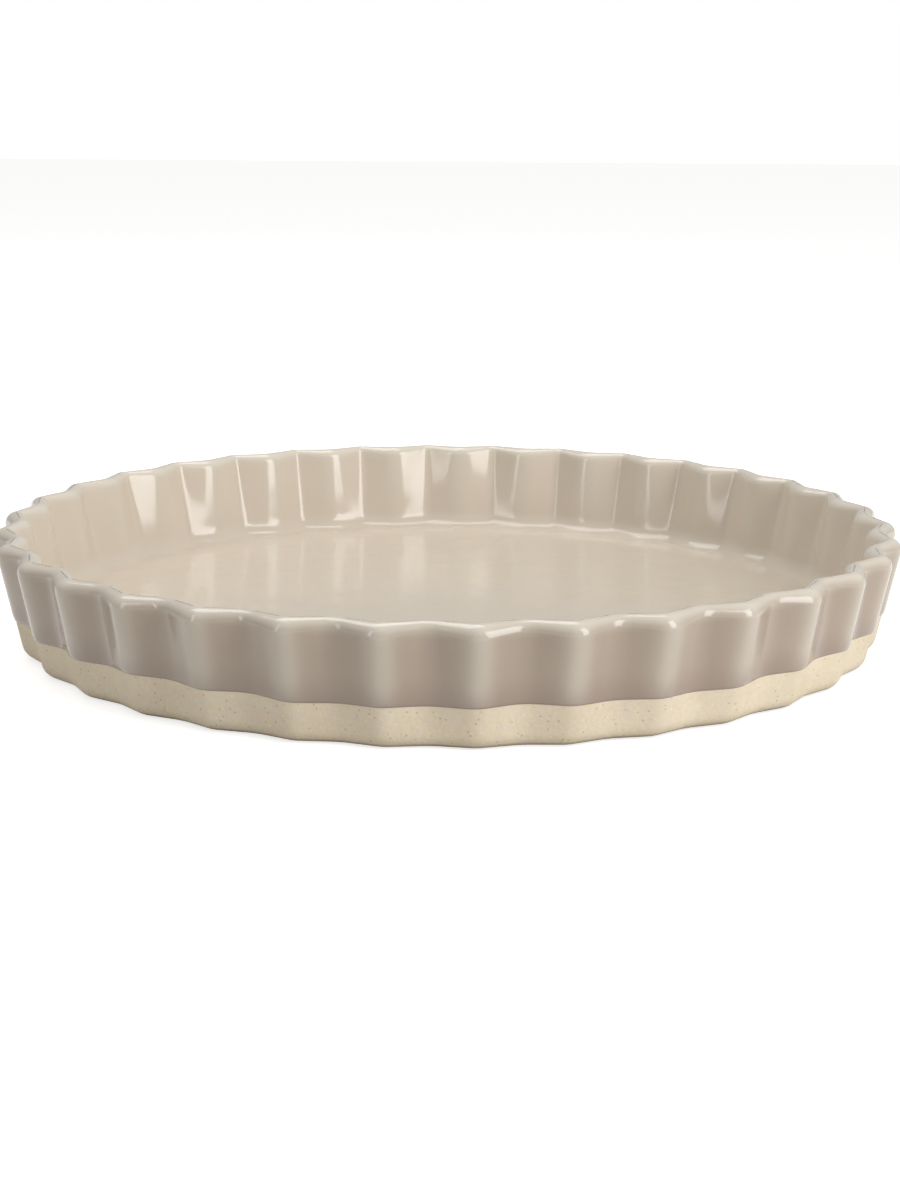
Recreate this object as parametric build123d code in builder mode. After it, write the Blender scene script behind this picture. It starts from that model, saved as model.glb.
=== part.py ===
"""Fluted quiche dish: a fired stoneware body and the coat of glaze that is fused to it.

Lengths are in millimetres and +Z is up. The origin is on the axis of the dish, at the level
of the table that it stands on.
"""
import os
from math import ceil, cos, degrees, pi, radians, sin, tan

from build123d import *

os.makedirs("parts", exist_ok=True)

# The fired clay, without its glaze
rim_diameter = 280.0            # over the crests of the flutes, before the lip is rounded
height = 34.5                   # from the table to the top of the lip
wall_thickness = 5.2
floor_thickness = 6.0
wall_draft = radians(12)        # how far the crests of the flutes lean outwards

# Flutes
flute_count = 34
rim_flute_depth = 4.6           # from crest to valley at the lip, inside and outside
foot_flute_depth = 1.9          # outside, at the table
floor_flute_depth = 1.0         # inside, where the flutes fade into the floor

# Half a flute in plan, from its crest to the middle of its valley. Each point has its share of
# the half pitch and its share of the flute's depth. The stretch between 0.26 and 0.80 is the
# outside's straight flank, with a round crest before it and a round valley after it. Inside,
# the groove behind a crest is narrower, and the ridge behind a valley is broader.
outside_flute_shares = ((0.09, 0.02), (0.26, 0.18), (0.80, 0.89), (1.0, 1.0))
inside_flute_shares = ((0.12, 0.06), (0.69, 0.82), (0.85, 0.955), (1.0, 1.0))

# Rounded corners of the wall, in section
foot_edge_radius = 5.0
cove_radius = 7.0               # between the inside of the wall and the floor
lip_round_share = 0.46          # of the wall's thickness, for each edge of the lip
seen_step = radians(40)         # widest turn between two facets of a corner
hidden_step = radians(105)      # the same for the clay's lip, under the glaze

# Underside
foot_ring_width = 10.0          # flat ring that touches the table
foot_ring_height = 1.2          # how far the middle stands clear of the table

# Glaze
glaze_thickness = 0.5
glaze_line_height = 11.0        # below this level the outside is bare clay

wall_turn = pi / 2 - wall_draft     # from straight down to the wall's outward normal
half_pitch = degrees(pi / flute_count)


def fluted_section(level, crest_radius, flute_depth, flute_shares):
    """A face with a fluted outline, at a level above the table.

    One flute is drawn from mid valley to mid valley, with its crest on the X axis, and
    repeated round the dish.
    """
    half_flute = [
        (crest_radius - flute_depth * depth_share, half_pitch * pitch_share)
        for pitch_share, depth_share in flute_shares
    ]
    down = [Vector(radius).rotate(Axis.Z, azimuth) for radius, azimuth in half_flute]
    up = [Vector(radius).rotate(Axis.Z, -azimuth) for radius, azimuth in reversed(half_flute)]
    with BuildLine() as flute:
        Polyline(*up, *down)
    with BuildSketch(Plane.XY.offset(level)) as section:
        with BuildLine():
            with PolarLocations(0, flute_count):
                add(flute.line)
        make_face()
    return section.sketch


def blend(foot_size, rim_size, level):
    """A size that changes evenly from the table to the lip."""
    return foot_size + (rim_size - foot_size) * level / height


def crest_line(level):
    """Radius of the clay over the outside crests."""
    return rim_diameter / 2 - (height - level) * tan(wall_draft)


def outside_section(level, inset):
    """The outside of the clay at a level, moved inwards by an inset."""
    flute_depth = blend(foot_flute_depth, rim_flute_depth, level)
    return fluted_section(level, crest_line(level) - inset, flute_depth, outside_flute_shares)


def inside_section(level, inset):
    """The inside of the clay at a level, moved inwards by an inset."""
    ridge = crest_line(level) - blend(foot_flute_depth, rim_flute_depth, level) - wall_thickness
    flute_depth = blend(floor_flute_depth, rim_flute_depth, level)
    return fluted_section(level, ridge + flute_depth - inset, flute_depth, inside_flute_shares)


def corner(radius, stop, widest_step):
    """Steps round a corner: (height over the corner's centre, inset from the wall's surface).

    A turn is the angle from straight down, past straight out, to the corner's normal. The
    corner runs from where it touches the wall, at wall_turn, to the turn where it stops.
    """
    steps = ceil(abs(stop - wall_turn) / widest_step)
    turns = [wall_turn + (stop - wall_turn) * step / steps for step in range(steps + 1)]
    slide = [(sin(wall_draft) - cos(turn)) * tan(wall_draft) for turn in turns]
    return [
        (-radius * cos(turn), radius * (shift + cos(wall_draft) - sin(turn)))
        for turn, shift in zip(turns, slide)
    ]


def outside_lip(skin, widest_step):
    """Sections round the outer edge of the lip, under a skin of glaze."""
    radius = (wall_thickness + 2 * skin) * lip_round_share
    centre = height + skin - radius
    steps = corner(radius, pi, widest_step)
    return [outside_section(centre + rise, inset - skin) for rise, inset in steps]


def inside_space(skin, lip_step):
    """Sections of the space in the dish: the floor, the cove, the wall and the lip.

    The section half way up lies on the straight wall, and divides its long slanted facets.
    """
    cove = cove_radius - skin
    cove_centre = floor_thickness + cove_radius
    lip = (wall_thickness + 2 * skin) * lip_round_share
    lip_centre = height + skin - lip
    up_the_cove = reversed(corner(cove, 0, seen_step))
    over_the_lip = corner(lip, 0, lip_step)
    return [
        *[inside_section(cove_centre + rise, inset + skin) for rise, inset in up_the_cove],
        inside_section((cove_centre + lip_centre) / 2, skin),
        *[inside_section(lip_centre - rise, skin - inset) for rise, inset in over_the_lip],
    ]


up_the_foot = reversed(corner(foot_edge_radius, 0, seen_step))
clay_foot = [outside_section(foot_edge_radius + rise, inset) for rise, inset in up_the_foot]
clay_at_glaze_line = outside_section(glaze_line_height, 0)
clay_outside = [*clay_foot, clay_at_glaze_line, *outside_lip(0, hidden_step)]
clay_inside = inside_space(0, hidden_step)

# The body: pressed or cast in one piece, so foot, wall and floor are one solid
with BuildPart() as stoneware_body:
    loft(clay_outside, ruled=True)
    loft(clay_inside, ruled=True, mode=Mode.SUBTRACT)
    with BuildSketch(Plane.XY):
        Circle(crest_line(0) - foot_flute_depth - foot_edge_radius - foot_ring_width)
    extrude(amount=foot_ring_height, mode=Mode.SUBTRACT)

# The glaze: over the floor, the inside of the wall and the lip, and down to the glaze line
with BuildPart() as glaze_coat:
    glaze_hem = outside_section(glaze_line_height, -glaze_thickness)
    loft([glaze_hem, *outside_lip(glaze_thickness, seen_step)], ruled=True)
    loft(clay_outside, ruled=True, mode=Mode.SUBTRACT)
    loft(clay_inside, ruled=True)
    loft(inside_space(glaze_thickness, seen_step), ruled=True, mode=Mode.SUBTRACT)

stoneware_body.part.label = "stoneware_body"
export_step(stoneware_body.part, "parts/stoneware_body.step")
glaze_coat.part.label = "glaze_coat"
export_step(glaze_coat.part, "parts/glaze_coat.step")
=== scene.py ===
"""The looks of a fluted quiche dish: a stoneware body, its glaze, and a pale studio."""
import math

import bpy
import numpy as np
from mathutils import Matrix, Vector


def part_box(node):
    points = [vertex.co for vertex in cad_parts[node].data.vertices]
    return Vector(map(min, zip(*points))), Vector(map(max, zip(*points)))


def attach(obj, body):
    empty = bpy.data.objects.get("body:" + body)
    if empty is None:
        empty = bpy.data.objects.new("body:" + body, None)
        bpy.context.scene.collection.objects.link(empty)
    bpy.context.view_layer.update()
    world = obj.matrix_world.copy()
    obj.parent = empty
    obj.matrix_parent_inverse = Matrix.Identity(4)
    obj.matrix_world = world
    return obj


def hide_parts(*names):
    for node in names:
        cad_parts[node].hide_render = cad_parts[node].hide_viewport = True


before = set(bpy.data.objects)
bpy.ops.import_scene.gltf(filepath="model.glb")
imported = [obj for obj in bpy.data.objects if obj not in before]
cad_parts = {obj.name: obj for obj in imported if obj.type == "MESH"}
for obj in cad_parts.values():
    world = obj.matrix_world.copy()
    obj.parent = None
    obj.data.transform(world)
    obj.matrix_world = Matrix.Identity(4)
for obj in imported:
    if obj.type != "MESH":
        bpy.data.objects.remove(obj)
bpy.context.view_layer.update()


# Stoneware body
# One thick clay body: foot, floor, fluted wall and lip, pressed in a mould and fired once. Only a
# band round the foot and the underside stay bare. The rest lies under the glaze.

clay_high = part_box("stoneware_body")[1]
wall_height = clay_high[2]
rim_radius = clay_high[0] + 0.0004
wall_draft = math.radians(12)
wall_thickness = 0.0052
floor_thickness = 0.0060
flute_count = 34
rim_flute_depth, foot_flute_depth, floor_flute_depth = 0.0046, 0.0019, 0.0010
rim_crest_round, foot_crest_round = 0.0052, 0.0090
rim_valley_round, foot_valley_round = 0.0080, 0.0170
rim_groove_round, floor_groove_round = 0.0028, 0.0070
rim_ridge_round, floor_ridge_round = 0.0094, 0.0240
foot_edge_radius = 0.0050
cove_radius = 0.0070
crest_lip_share, valley_lip_share = 0.57, 0.38
lip_round_share = 0.97
foot_ring_width = 0.0100
foot_ring_height = 0.0012
bare_band_top = 0.0150

columns_per_flute = 28
azimuth = np.linspace(0, 2 * np.pi, flute_count * columns_per_flute, endpoint=False)
half_pitch = np.pi / flute_count
from_crest = np.abs((azimuth + half_pitch) % (2 * half_pitch) - half_pitch)
crestness = 0.5 + 0.5 * np.cos(np.pi * from_crest / half_pitch)


def fluted_radius(crest, valley, crest_round, valley_round):
    """Distance of a fluted outline from the axis, for sizes that are rows by columns of azimuth.

    A ray meets the circle of the crest up to the point where the flank touches it, then the
    flank, which is the line that touches both circles, and then the circle of the valley.
    """
    crest_centre = crest - crest_round
    valley_centre = valley + valley_round
    out = valley_centre * np.cos(half_pitch) - crest_centre
    along = valley_centre * np.sin(half_pitch)
    lean = np.arctan2(along, out) - np.arccos((crest_round + valley_round) / np.hypot(out, along))
    crest_stop = np.arctan2(crest_round * np.sin(lean), crest_centre + crest_round * np.cos(lean))
    valley_start = np.arctan2(along - valley_round * np.sin(lean),
                              valley_centre * np.cos(half_pitch) - valley_round * np.cos(lean))
    to_valley = half_pitch - from_crest
    off_crest = np.minimum(crest_centre * np.sin(from_crest), crest_round)
    off_valley = np.minimum(valley_centre * np.sin(to_valley), valley_round)
    on_crest = crest_centre * np.cos(from_crest) + np.sqrt(crest_round**2 - off_crest**2)
    on_valley = valley_centre * np.cos(to_valley) - np.sqrt(valley_round**2 - off_valley**2)
    on_flank = (crest_centre * np.cos(lean) + crest_round) / np.cos(from_crest - lean)
    return np.where(from_crest < crest_stop, on_crest,
                    np.where(from_crest > valley_start, on_valley, on_flank))


def blend(foot_size, rim_size, level):
    """A size that changes evenly from the table to the lip."""
    return foot_size + (rim_size - foot_size) * level / wall_height


def outside(level, inset):
    """Radius of the clay's outside at each level, moved inwards by an inset."""
    crest = rim_radius - (wall_height - level) * math.tan(wall_draft)
    valley = crest - blend(foot_flute_depth, rim_flute_depth, level)
    return fluted_radius(crest - inset, valley - inset,
                         blend(foot_crest_round, rim_crest_round, level) - inset,
                         blend(foot_valley_round, rim_valley_round, level) + inset)


def inside(level, inset):
    """Radius of the clay's inside at each level, moved inwards by an inset."""
    crest = rim_radius - (wall_height - level) * math.tan(wall_draft)
    ridge = crest - blend(foot_flute_depth, rim_flute_depth, level) - wall_thickness
    groove = ridge + blend(floor_flute_depth, rim_flute_depth, level)
    return fluted_radius(groove - inset, ridge - inset,
                         blend(floor_groove_round, rim_groove_round, level) - inset,
                         blend(floor_ridge_round, rim_ridge_round, level) + inset)


def corner(stop, rows):
    """Heights over a corner's centre, and insets from the wall, for a corner of radius 1.

    A turn is the angle from straight down to the corner's normal. It runs from the wall's, 90
    degrees less the draft, to the stop.
    """
    turn = np.linspace(math.pi / 2 - wall_draft, stop, rows)[:, None]
    slide = (math.sin(wall_draft) - np.cos(turn)) * math.tan(wall_draft)
    return -np.cos(turn), slide + math.cos(wall_draft) - np.sin(turn)


def between(start, stop, rows):
    """Rows of levels spaced evenly between two levels, which may differ by azimuth."""
    return start + (stop - start) * np.linspace(0, 1, rows + 2)[1:-1, None]


def over_the_lip(skin, outer_rows, inner_rows):
    """Bands of (radius, level) over the lip, under a skin of glaze.

    The lip's outer edge is broad over a crest and tight over a valley, and the inner edge takes
    up the rest of the wall's thickness.
    """
    share = valley_lip_share + (crest_lip_share - valley_lip_share) * crestness**1.5
    outer = wall_thickness * share + skin
    rise, inset = corner(math.pi, outer_rows)
    fall, tuck = corner(0, inner_rows)
    inner = (lip_round_share * (wall_thickness + 2 * skin) - outer * inset[-1]) / tuck[-1]
    outer_level = wall_height + skin + outer * (rise - 1)
    inner_level = wall_height + skin - inner * (1 + fall[::-1])
    return [(outside(outer_level, outer * inset - skin), outer_level),
            (inside(inner_level, skin - inner * tuck[::-1]), inner_level)]


def down_the_inside(skin, start, wall_rows, cove_rows, floor_shares):
    """Bands of (radius, level) from under the lip down the wall, round the cove and inwards."""
    cove = cove_radius - skin
    rise, inset = corner(0, cove_rows)
    cove_level = floor_thickness + cove_radius + cove * rise
    wall_level = between(start, cove_level[0], wall_rows)
    edge = inside(cove_level[-1:], cove * inset[-1:] + skin)
    floor = edge.mean() * np.array(floor_shares)[:, None] + 0 * azimuth
    ease = np.array(floor_shares)[:, None] ** 12
    return [(inside(wall_level, skin), wall_level),
            (inside(cove_level, cove * inset + skin), cove_level),
            (floor + ease * (edge - edge.mean()), cove_level[-1] + 0 * floor)]


def grid(bands):
    """Stacks bands of (radius, level) into two arrays of rows by columns of azimuth."""
    full = [np.broadcast_arrays(radius, level, azimuth[None])[:2] for radius, level in bands]
    return np.concatenate([band[0] for band in full]), np.concatenate([band[1] for band in full])


def closed_form(name, radius, level, **paint):
    """A closed mesh from a grid of radii and levels, one ring round the axis for each row.

    The first and the last ring are closed by a fan to a point on the axis. A paint is a grid of
    values that becomes an attribute of the mesh for the material to read.
    """
    rows, columns = radius.shape
    ring = np.stack([radius * np.cos(azimuth), radius * np.sin(azimuth), level], axis=-1)
    poles = [[0, 0, level[0].mean()], [0, 0, level[-1].mean()]]
    points = np.concatenate([ring.reshape(-1, 3), poles])
    here = np.arange(rows * columns).reshape(rows, columns)
    after = np.roll(here, -1, axis=1)
    quads = np.stack([here[:-1], after[:-1], after[1:], here[1:]], axis=-1).reshape(-1, 4)
    first = np.full(columns, rows * columns)
    fans = np.concatenate([np.stack([first, after[0], here[0]], axis=-1),
                           np.stack([first + 1, here[-1], after[-1]], axis=-1)])
    loops = np.concatenate([quads.ravel(), fans.ravel()]).astype(np.int32)
    sizes = np.concatenate([np.full(len(quads), 4), np.full(len(fans), 3)])
    mesh = bpy.data.meshes.new(name)
    mesh.vertices.add(len(points))
    mesh.vertices.foreach_set("co", points.ravel())
    mesh.loops.add(len(loops))
    mesh.loops.foreach_set("vertex_index", loops)
    mesh.polygons.add(len(sizes))
    mesh.polygons.foreach_set("loop_start", (np.cumsum(sizes) - sizes).astype(np.int32))
    for label, values in paint.items():
        ends = [values[0].mean(), values[-1].mean()]
        layer = mesh.attributes.new(label, "FLOAT", "POINT")
        layer.data.foreach_set("value", np.concatenate([values.ravel(), ends]).astype(np.float32))
    mesh.update(calc_edges=True)
    mesh.shade_smooth()
    piece = bpy.data.objects.new(name, mesh)
    bpy.context.scene.collection.objects.link(piece)
    return piece


foot_rise, foot_inset = corner(0, 9)
foot_level = foot_edge_radius * (1 + foot_rise[::-1])
foot_edge = outside(foot_level, foot_edge_radius * foot_inset[::-1])
ring_inner = foot_edge[0].mean() - foot_ring_width
lip_bands = over_the_lip(0, 5, 4)
bare_level = between(foot_level[-1], bare_band_top, 9)
covered_level = between(bare_band_top, lip_bands[0][1][:1], 3)
step_shares = np.array([0.0, 0.1, 0.5, 0.9, 1.0])[:, None]
body = closed_form("stoneware_body_fired", *grid([
    (ring_inner * np.array([[0.3], [0.6], [0.9], [0.98]]), foot_ring_height),
    (ring_inner * (0.995 + 0.01 * step_shares), foot_ring_height * (1 - step_shares)),
    (foot_edge, foot_level),
    (outside(bare_level, 0), bare_level),
    (outside(covered_level, 0), covered_level),
    *lip_bands,
    *down_the_inside(0, lip_bands[1][1][-1:], 3, 5, (0.9, 0.6, 0.3)),
]))


def linear(hex_colour):
    """The linear colour that an sRGB hex value stands for."""
    values = np.array([int(hex_colour[i:i + 2], 16) for i in (1, 3, 5)]) / 255
    values = np.where(values <= 0.04045, values / 12.92, ((values + 0.055) / 1.055) ** 2.4)
    return (*values, 1.0)


def add_node(tree, kind, settings, inputs):
    """Adds a node with its settings. An input is a value, or an output socket to link."""
    node = tree.nodes.new(kind)
    for name, value in settings.items():
        setattr(node, name, value)
    for name, value in inputs.items():
        if isinstance(value, bpy.types.NodeSocket):
            tree.links.new(value, node.inputs[name])
        else:
            node.inputs[name].default_value = value
    return node


# Buff stoneware, fired and left as it came from the mould: dead matt, warm and sandy, with open
# pinholes and pale grains of grog, and a browner band at the very bottom of the foot.
bare_stoneware = bpy.data.materials.new("buff_stoneware_fired_bare")
bare_stoneware.use_nodes = True
tree = bare_stoneware.node_tree
shader = tree.nodes["Principled BSDF"]
place = add_node(tree, "ShaderNodeTexCoord", {}, {}).outputs["Object"]
height = add_node(tree, "ShaderNodeSeparateXYZ", {}, {"Vector": place}).outputs["Z"]
cloud_size, sand_size, pore_spacing, grain_spacing = 0.014, 0.0011, 0.0021, 0.0028
cloud = add_node(tree, "ShaderNodeTexNoise", {},
                 {"Vector": place, "Scale": 1 / cloud_size, "Detail": 3.0})
sand = add_node(tree, "ShaderNodeTexNoise", {},
                {"Vector": place, "Scale": 1 / sand_size, "Detail": 2.0})
buff = add_node(tree, "ShaderNodeMix", {"data_type": "RGBA"},
                {0: cloud.outputs[0], 6: linear("#D8C9AE"), 7: linear("#EADEC8")})
sandy = add_node(tree, "ShaderNodeMix", {"data_type": "RGBA", "blend_type": "OVERLAY"},
                 {0: 0.22, 6: buff.outputs[2], 7: sand.outputs["Color"]})
pores = add_node(tree, "ShaderNodeTexVoronoi", {}, {"Vector": place, "Scale": 1 / pore_spacing})
pore = add_node(tree, "ShaderNodeMapRange", {},
                {"Value": pores.outputs["Distance"], 1: 0.10, 2: 0.17, 3: 0.45, 4: 0.0})
pored = add_node(tree, "ShaderNodeMix", {"data_type": "RGBA"},
                 {0: pore.outputs[0], 6: sandy.outputs[2], 7: linear("#9A8768")})
grains = add_node(tree, "ShaderNodeTexVoronoi", {}, {"Vector": place, "Scale": 1 / grain_spacing})
grain = add_node(tree, "ShaderNodeMapRange", {},
                 {"Value": grains.outputs["Distance"], 1: 0.10, 2: 0.16, 3: 0.45, 4: 0.0})
grained = add_node(tree, "ShaderNodeMix", {"data_type": "RGBA"},
                   {0: grain.outputs[0], 6: pored.outputs[2], 7: linear("#EFE7D6")})
# The foot is painted darker towards the very bottom, within 1.6 mm of the table.
darker_near_table = add_node(tree, "ShaderNodeMapRange", {},
                 {"Value": height, 1: 0.0004, 2: 0.0016, 3: 0.8, 4: 0.0})
final = add_node(tree, "ShaderNodeMix", {"data_type": "RGBA"},
                 {0: darker_near_table.outputs[0], 6: grained.outputs[2], 7: linear("#8A7355")})
bump = add_node(tree, "ShaderNodeBump", {},
                {"Strength": 0.35, "Distance": 0.0003, "Height": sand.outputs[0]})
tree.links.new(final.outputs[2], shader.inputs["Base Color"])
tree.links.new(bump.outputs[0], shader.inputs["Normal"])
shader.inputs["Roughness"].default_value = 0.9
shader.inputs["Specular IOR Level"].default_value = 0.25
body.data.materials.append(bare_stoneware)
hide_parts("stoneware_body")
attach(body, "root")


# Glaze coat
# A glossy greige glaze over the inside, the lip and most of the outside. The dish was dipped, so
# the coat ends in a thin wavering line round the wall, and it is fused to the clay.

glaze_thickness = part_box("glaze_coat")[1][2] - wall_height
glaze_line = (0.0120 + 0.0003 * np.sin(3 * azimuth + 1) + 0.0003 * np.sin(8 * azimuth)
              + 0.00015 * np.sin(23 * azimuth + 2))
hem_rise = np.array([-0.4, 0.0, 0.12, 0.3, 0.6, 1.0, 1.6, 2.4])[:, None] / 1000
hem_skin = np.array([-0.4, -0.05, 0.16, 0.27, 0.37, 0.44, 0.48, 0.5])[:, None] / 1000
hem_level = glaze_line + hem_rise
lip_bands = over_the_lip(glaze_thickness, 13, 11)
wall_level = between(hem_level[-1:], lip_bands[0][1][:1], 12)
seen_inside = down_the_inside(glaze_thickness, lip_bands[1][1][-1:], 13, 12,
                              (0.985, 0.96, 0.93, 0.88, 0.75, 0.55, 0.35, 0.15))
buried = 0.0010
back_wall = np.array([[floor_thickness - buried], [0.013], [0.022], [0.0305]])
front_wall = back_wall[:0:-1]
bands = [
    (ring_inner * np.array([[0.3], [0.7], [0.95]]), floor_thickness - buried),
    (inside(back_wall, -buried), back_wall),
    (outside(front_wall, buried), front_wall),
    (outside(hem_level, -hem_skin), hem_level),
    (outside(wall_level, -glaze_thickness), wall_level),
    *lip_bands,
    *seen_inside,
]
radius, level = grid(bands)
rows_outside = len(grid(bands[:-len(seen_inside) - 1])[0])
is_outside = (np.arange(len(level)) < rows_outside)[:, None]
over_line = np.where(is_outside, level - glaze_line, wall_height)
pale_lip_depth, pale_ridge_start, pale_ridge_rise = 0.0030, 0.008, 0.010
lipness = np.clip((level - wall_height + pale_lip_depth) / pale_lip_depth, 0, 1)
ridge = np.where(is_outside, crestness**4, (1 - crestness) ** 3)
ridge = ridge * np.clip((level - pale_ridge_start) / pale_ridge_rise, 0, 1)
glaze = closed_form("glaze_coat_fired", radius, level, over_line=over_line, lip=lipness,
                    ridge=ridge, inner=1.0 - is_outside + 0 * level)

# Greige glaze, fired glossy: a smooth coat of glass that mirrors the lamps, with soft waves where
# it ran. It is thin and pale over the lip and the ridges, and thicker and mauver above its hem.
# The inside is painted paler than the outside: painted light, for the light that falls into the
# bowl.
greige_glaze = bpy.data.materials.new("greige_glaze_fired_glossy")
greige_glaze.use_nodes = True
tree = greige_glaze.node_tree
shader = tree.nodes["Principled BSDF"]
place = add_node(tree, "ShaderNodeTexCoord", {}, {}).outputs["Object"]
paint = {label: add_node(tree, "ShaderNodeAttribute", {"attribute_name": label}, {}).outputs["Fac"]
         for label in ("over_line", "lip", "ridge", "inner")}
drift_size, wave_size = 0.030, 0.012
drift = add_node(tree, "ShaderNodeTexNoise", {},
                 {"Vector": place, "Scale": 1 / drift_size, "Detail": 3.0})
body_tone = add_node(tree, "ShaderNodeMix", {"data_type": "RGBA"},
                     {0: drift.outputs[0], 6: linear("#A08F7E"), 7: linear("#AC9C8B")})
# Painted light: the inside of the glaze is painted a paler tone than the outside, for the light
# falling into the bowl.
inside_painted_lighter = add_node(tree, "ShaderNodeMix", {"data_type": "RGBA"},
                      {0: paint["inner"], 6: body_tone.outputs[2], 7: linear("#D2C6B5")})
pooled = add_node(tree, "ShaderNodeMapRange", {"interpolation_type": "SMOOTHSTEP"},
                  {"Value": paint["over_line"], 1: 0.0, 2: 0.010, 3: 0.75, 4: 0.0})
mauve = add_node(tree, "ShaderNodeMix", {"data_type": "RGBA"},
                 {0: pooled.outputs[0], 6: inside_painted_lighter.outputs[2], 7: linear("#978578")})
ridges = add_node(tree, "ShaderNodeMath", {"operation": "MULTIPLY"}, {0: paint["ridge"], 1: 0.55})
paler = add_node(tree, "ShaderNodeMix", {"data_type": "RGBA"},
                 {0: ridges.outputs[0], 6: mauve.outputs[2], 7: linear("#D2CABB")})
lips = add_node(tree, "ShaderNodeMath", {"operation": "MULTIPLY"}, {0: paint["lip"], 1: 0.8})
lipped = add_node(tree, "ShaderNodeMix", {"data_type": "RGBA"},
                  {0: lips.outputs[0], 6: paler.outputs[2], 7: linear("#D5CDBF")})
hem = add_node(tree, "ShaderNodeMapRange", {},
               {"Value": paint["over_line"], 1: 0.0001, 2: 0.0006, 3: 0.7, 4: 0.0})
final = add_node(tree, "ShaderNodeMix", {"data_type": "RGBA"},
                 {0: hem.outputs[0], 6: lipped.outputs[2], 7: linear("#85736B")})
waves = add_node(tree, "ShaderNodeTexNoise", {},
                 {"Vector": place, "Scale": 1 / wave_size, "Detail": 1.0})
bump = add_node(tree, "ShaderNodeBump", {},
                {"Strength": 0.35, "Distance": 0.0006, "Height": waves.outputs[0]})
tree.links.new(final.outputs[2], shader.inputs["Base Color"])
tree.links.new(bump.outputs[0], shader.inputs["Normal"])
shader.inputs["Roughness"].default_value = 0.15
shader.inputs["IOR"].default_value = 1.55
glaze.data.materials.append(greige_glaze)
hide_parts("glaze_coat")
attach(glaze, "root")


# Studio
# A white table and backdrop, a tall soft box on either side of the camera, and a broad one above.

table = bpy.data.objects.new("table_top", bpy.data.meshes.new("table_top"))
reach = 4.0
corners = [(-reach, -reach, 0), (reach, -reach, 0), (reach, reach, 0), (-reach, reach, 0)]
table.data.from_pydata(corners, [], [(0, 1, 2, 3)])
bpy.context.scene.collection.objects.link(table)
white_table = bpy.data.materials.new("white_table_matt")
white_table.use_nodes = True
tree = white_table.node_tree
shader = tree.nodes["Principled BSDF"]
seen = add_node(tree, "ShaderNodeLightPath", {}, {})
mirrored = add_node(tree, "ShaderNodeMath", {"operation": "MAXIMUM"},
                    {0: seen.outputs["Is Glossy Ray"], 1: seen.outputs["Is Transmission Ray"]})
direct = add_node(tree, "ShaderNodeMath", {"operation": "MAXIMUM"},
                  {0: seen.outputs["Is Camera Ray"], 1: mirrored.outputs[0]})
glow = add_node(tree, "ShaderNodeMath", {"operation": "MULTIPLY"}, {0: direct.outputs[0], 1: 0.70})
shader.inputs["Base Color"].default_value = linear("#C9C8C6")
shader.inputs["Roughness"].default_value = 1.0
shader.inputs["Emission Color"].default_value = (1, 1, 1, 1)
tree.links.new(glow.outputs[0], shader.inputs["Emission Strength"])
table.data.materials.append(white_table)

world = bpy.data.worlds.new("studio")
bpy.context.scene.world = world
world.use_nodes = True
tree = world.node_tree
seen = add_node(tree, "ShaderNodeLightPath", {}, {})
ambient_light, white_background = 0.42, 1.0
level_of_light = add_node(tree, "ShaderNodeMapRange", {},
                          {"Value": seen.outputs["Is Camera Ray"],
                           3: ambient_light, 4: white_background})
tree.nodes["Background"].inputs["Color"].default_value = (1, 1, 1, 1)
tree.links.new(level_of_light.outputs[0], tree.nodes["Background"].inputs["Strength"])


def soft_box(name, place, aim, width, height, watts):
    """An area lamp that faces a point."""
    lamp = bpy.data.lights.new(name, "AREA")
    lamp.shape = "RECTANGLE"
    lamp.size, lamp.size_y, lamp.energy = width, height, watts
    stand = bpy.data.objects.new(name, lamp)
    stand.location = place
    stand.rotation_euler = (Vector(aim) - Vector(place)).to_track_quat("-Z", "Y").to_euler()
    bpy.context.scene.collection.objects.link(stand)


soft_box("right_strip", (0.90, -0.62, 0.42), (0, 0, 0.02), 0.55, 1.20, 11)
soft_box("left_strip", (-0.80, -0.75, 0.36), (0, 0, 0.02), 0.20, 1.00, 2)
soft_box("top_box", (-0.20, 0.35, 1.10), (0, 0, 0), 0.90, 0.70, 6)


# Camera
# A long lens from in front and a little above, turned so that the flutes fall as in the photo.

photo_height = 1195
mean_rim = rim_radius - rim_flute_depth / 2
focal_pixels = 2143
camera_distance = 4.945 * mean_rim
camera_height = 0.2494
turn = 0.0334
pitch = 0.2365
roll = -0.0055
camera = bpy.data.objects.new("camera", bpy.data.cameras.new("camera"))
camera.data.sensor_fit = "VERTICAL"
camera.data.sensor_height = 36
camera.data.lens = focal_pixels / photo_height * 36
camera.data.clip_start = 0.01
along = camera_distance * math.cos(camera_height)
camera.location = (along * math.sin(turn), -along * math.cos(turn),
                   camera_distance * math.sin(camera_height))
camera.rotation_euler = (math.pi / 2 - pitch, roll, turn)
bpy.context.scene.collection.objects.link(camera)
bpy.context.scene.camera = camera
bpy.context.scene.view_settings.view_transform = "Standard"
